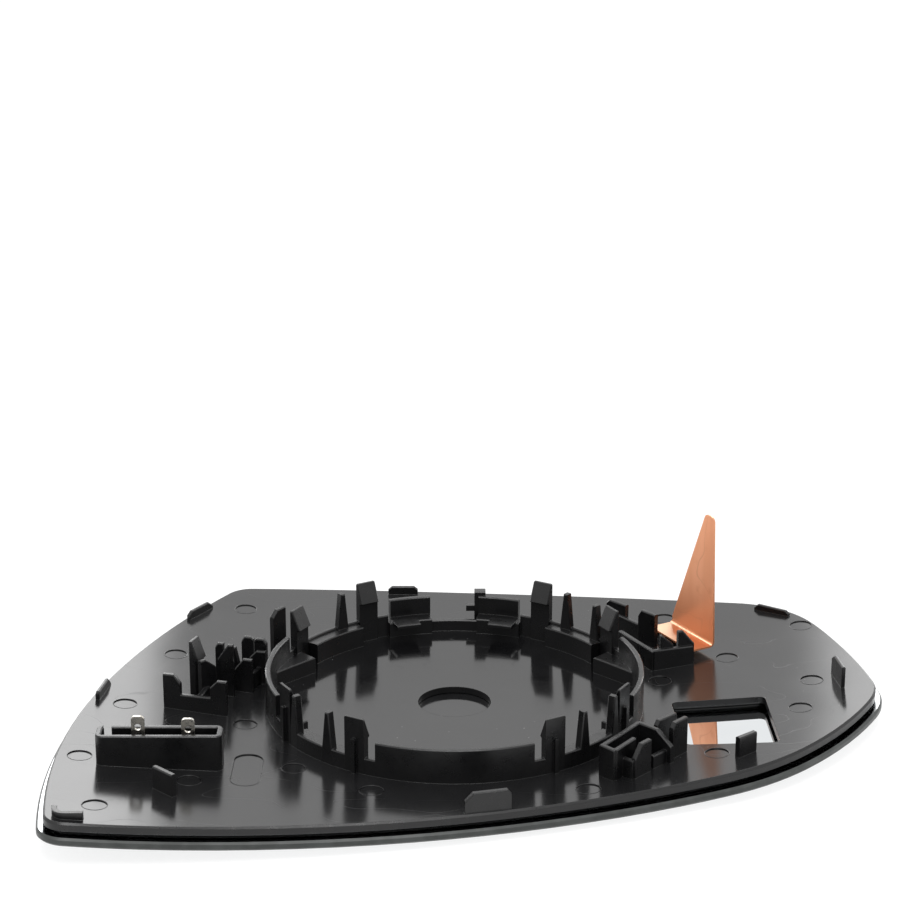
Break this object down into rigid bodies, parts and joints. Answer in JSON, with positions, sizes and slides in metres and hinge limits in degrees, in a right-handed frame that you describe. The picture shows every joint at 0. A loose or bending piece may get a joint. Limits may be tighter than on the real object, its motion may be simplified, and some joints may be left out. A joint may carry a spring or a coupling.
{
  "type": "car door mirror glass",
  "caption": "Convex heated car door mirror glass bonded to a black backing plate with a snap ring, heater terminals, brackets and a copper leaf spring.",
  "frame": {"origin": "axis of the centre hole, on the rear face of the backing plate", "axes": "+Z along the centre hole, away from the glass; +X along the width, toward the rounded end; +Y from the long straight side toward the other long side"},
  "size_m": [0.1974, 0.1465, 0.0427],
  "materials": {
    "black_plastic": "glossy moulded black",
    "mirror": "silvered, with a ground edge",
    "heating_film": "glossy black film",
    "tinned_metal": "tinned",
    "copper": "bright copper sheet"
  },
  "bodies": {
    "root": {"backing_plate": "black_plastic", "mirror_glass": "mirror", "heater_pad": "heating_film", "terminal_left": "tinned_metal", "terminal_right": "tinned_metal", "copper_spring": "copper"}
  },
  "joints": []
}
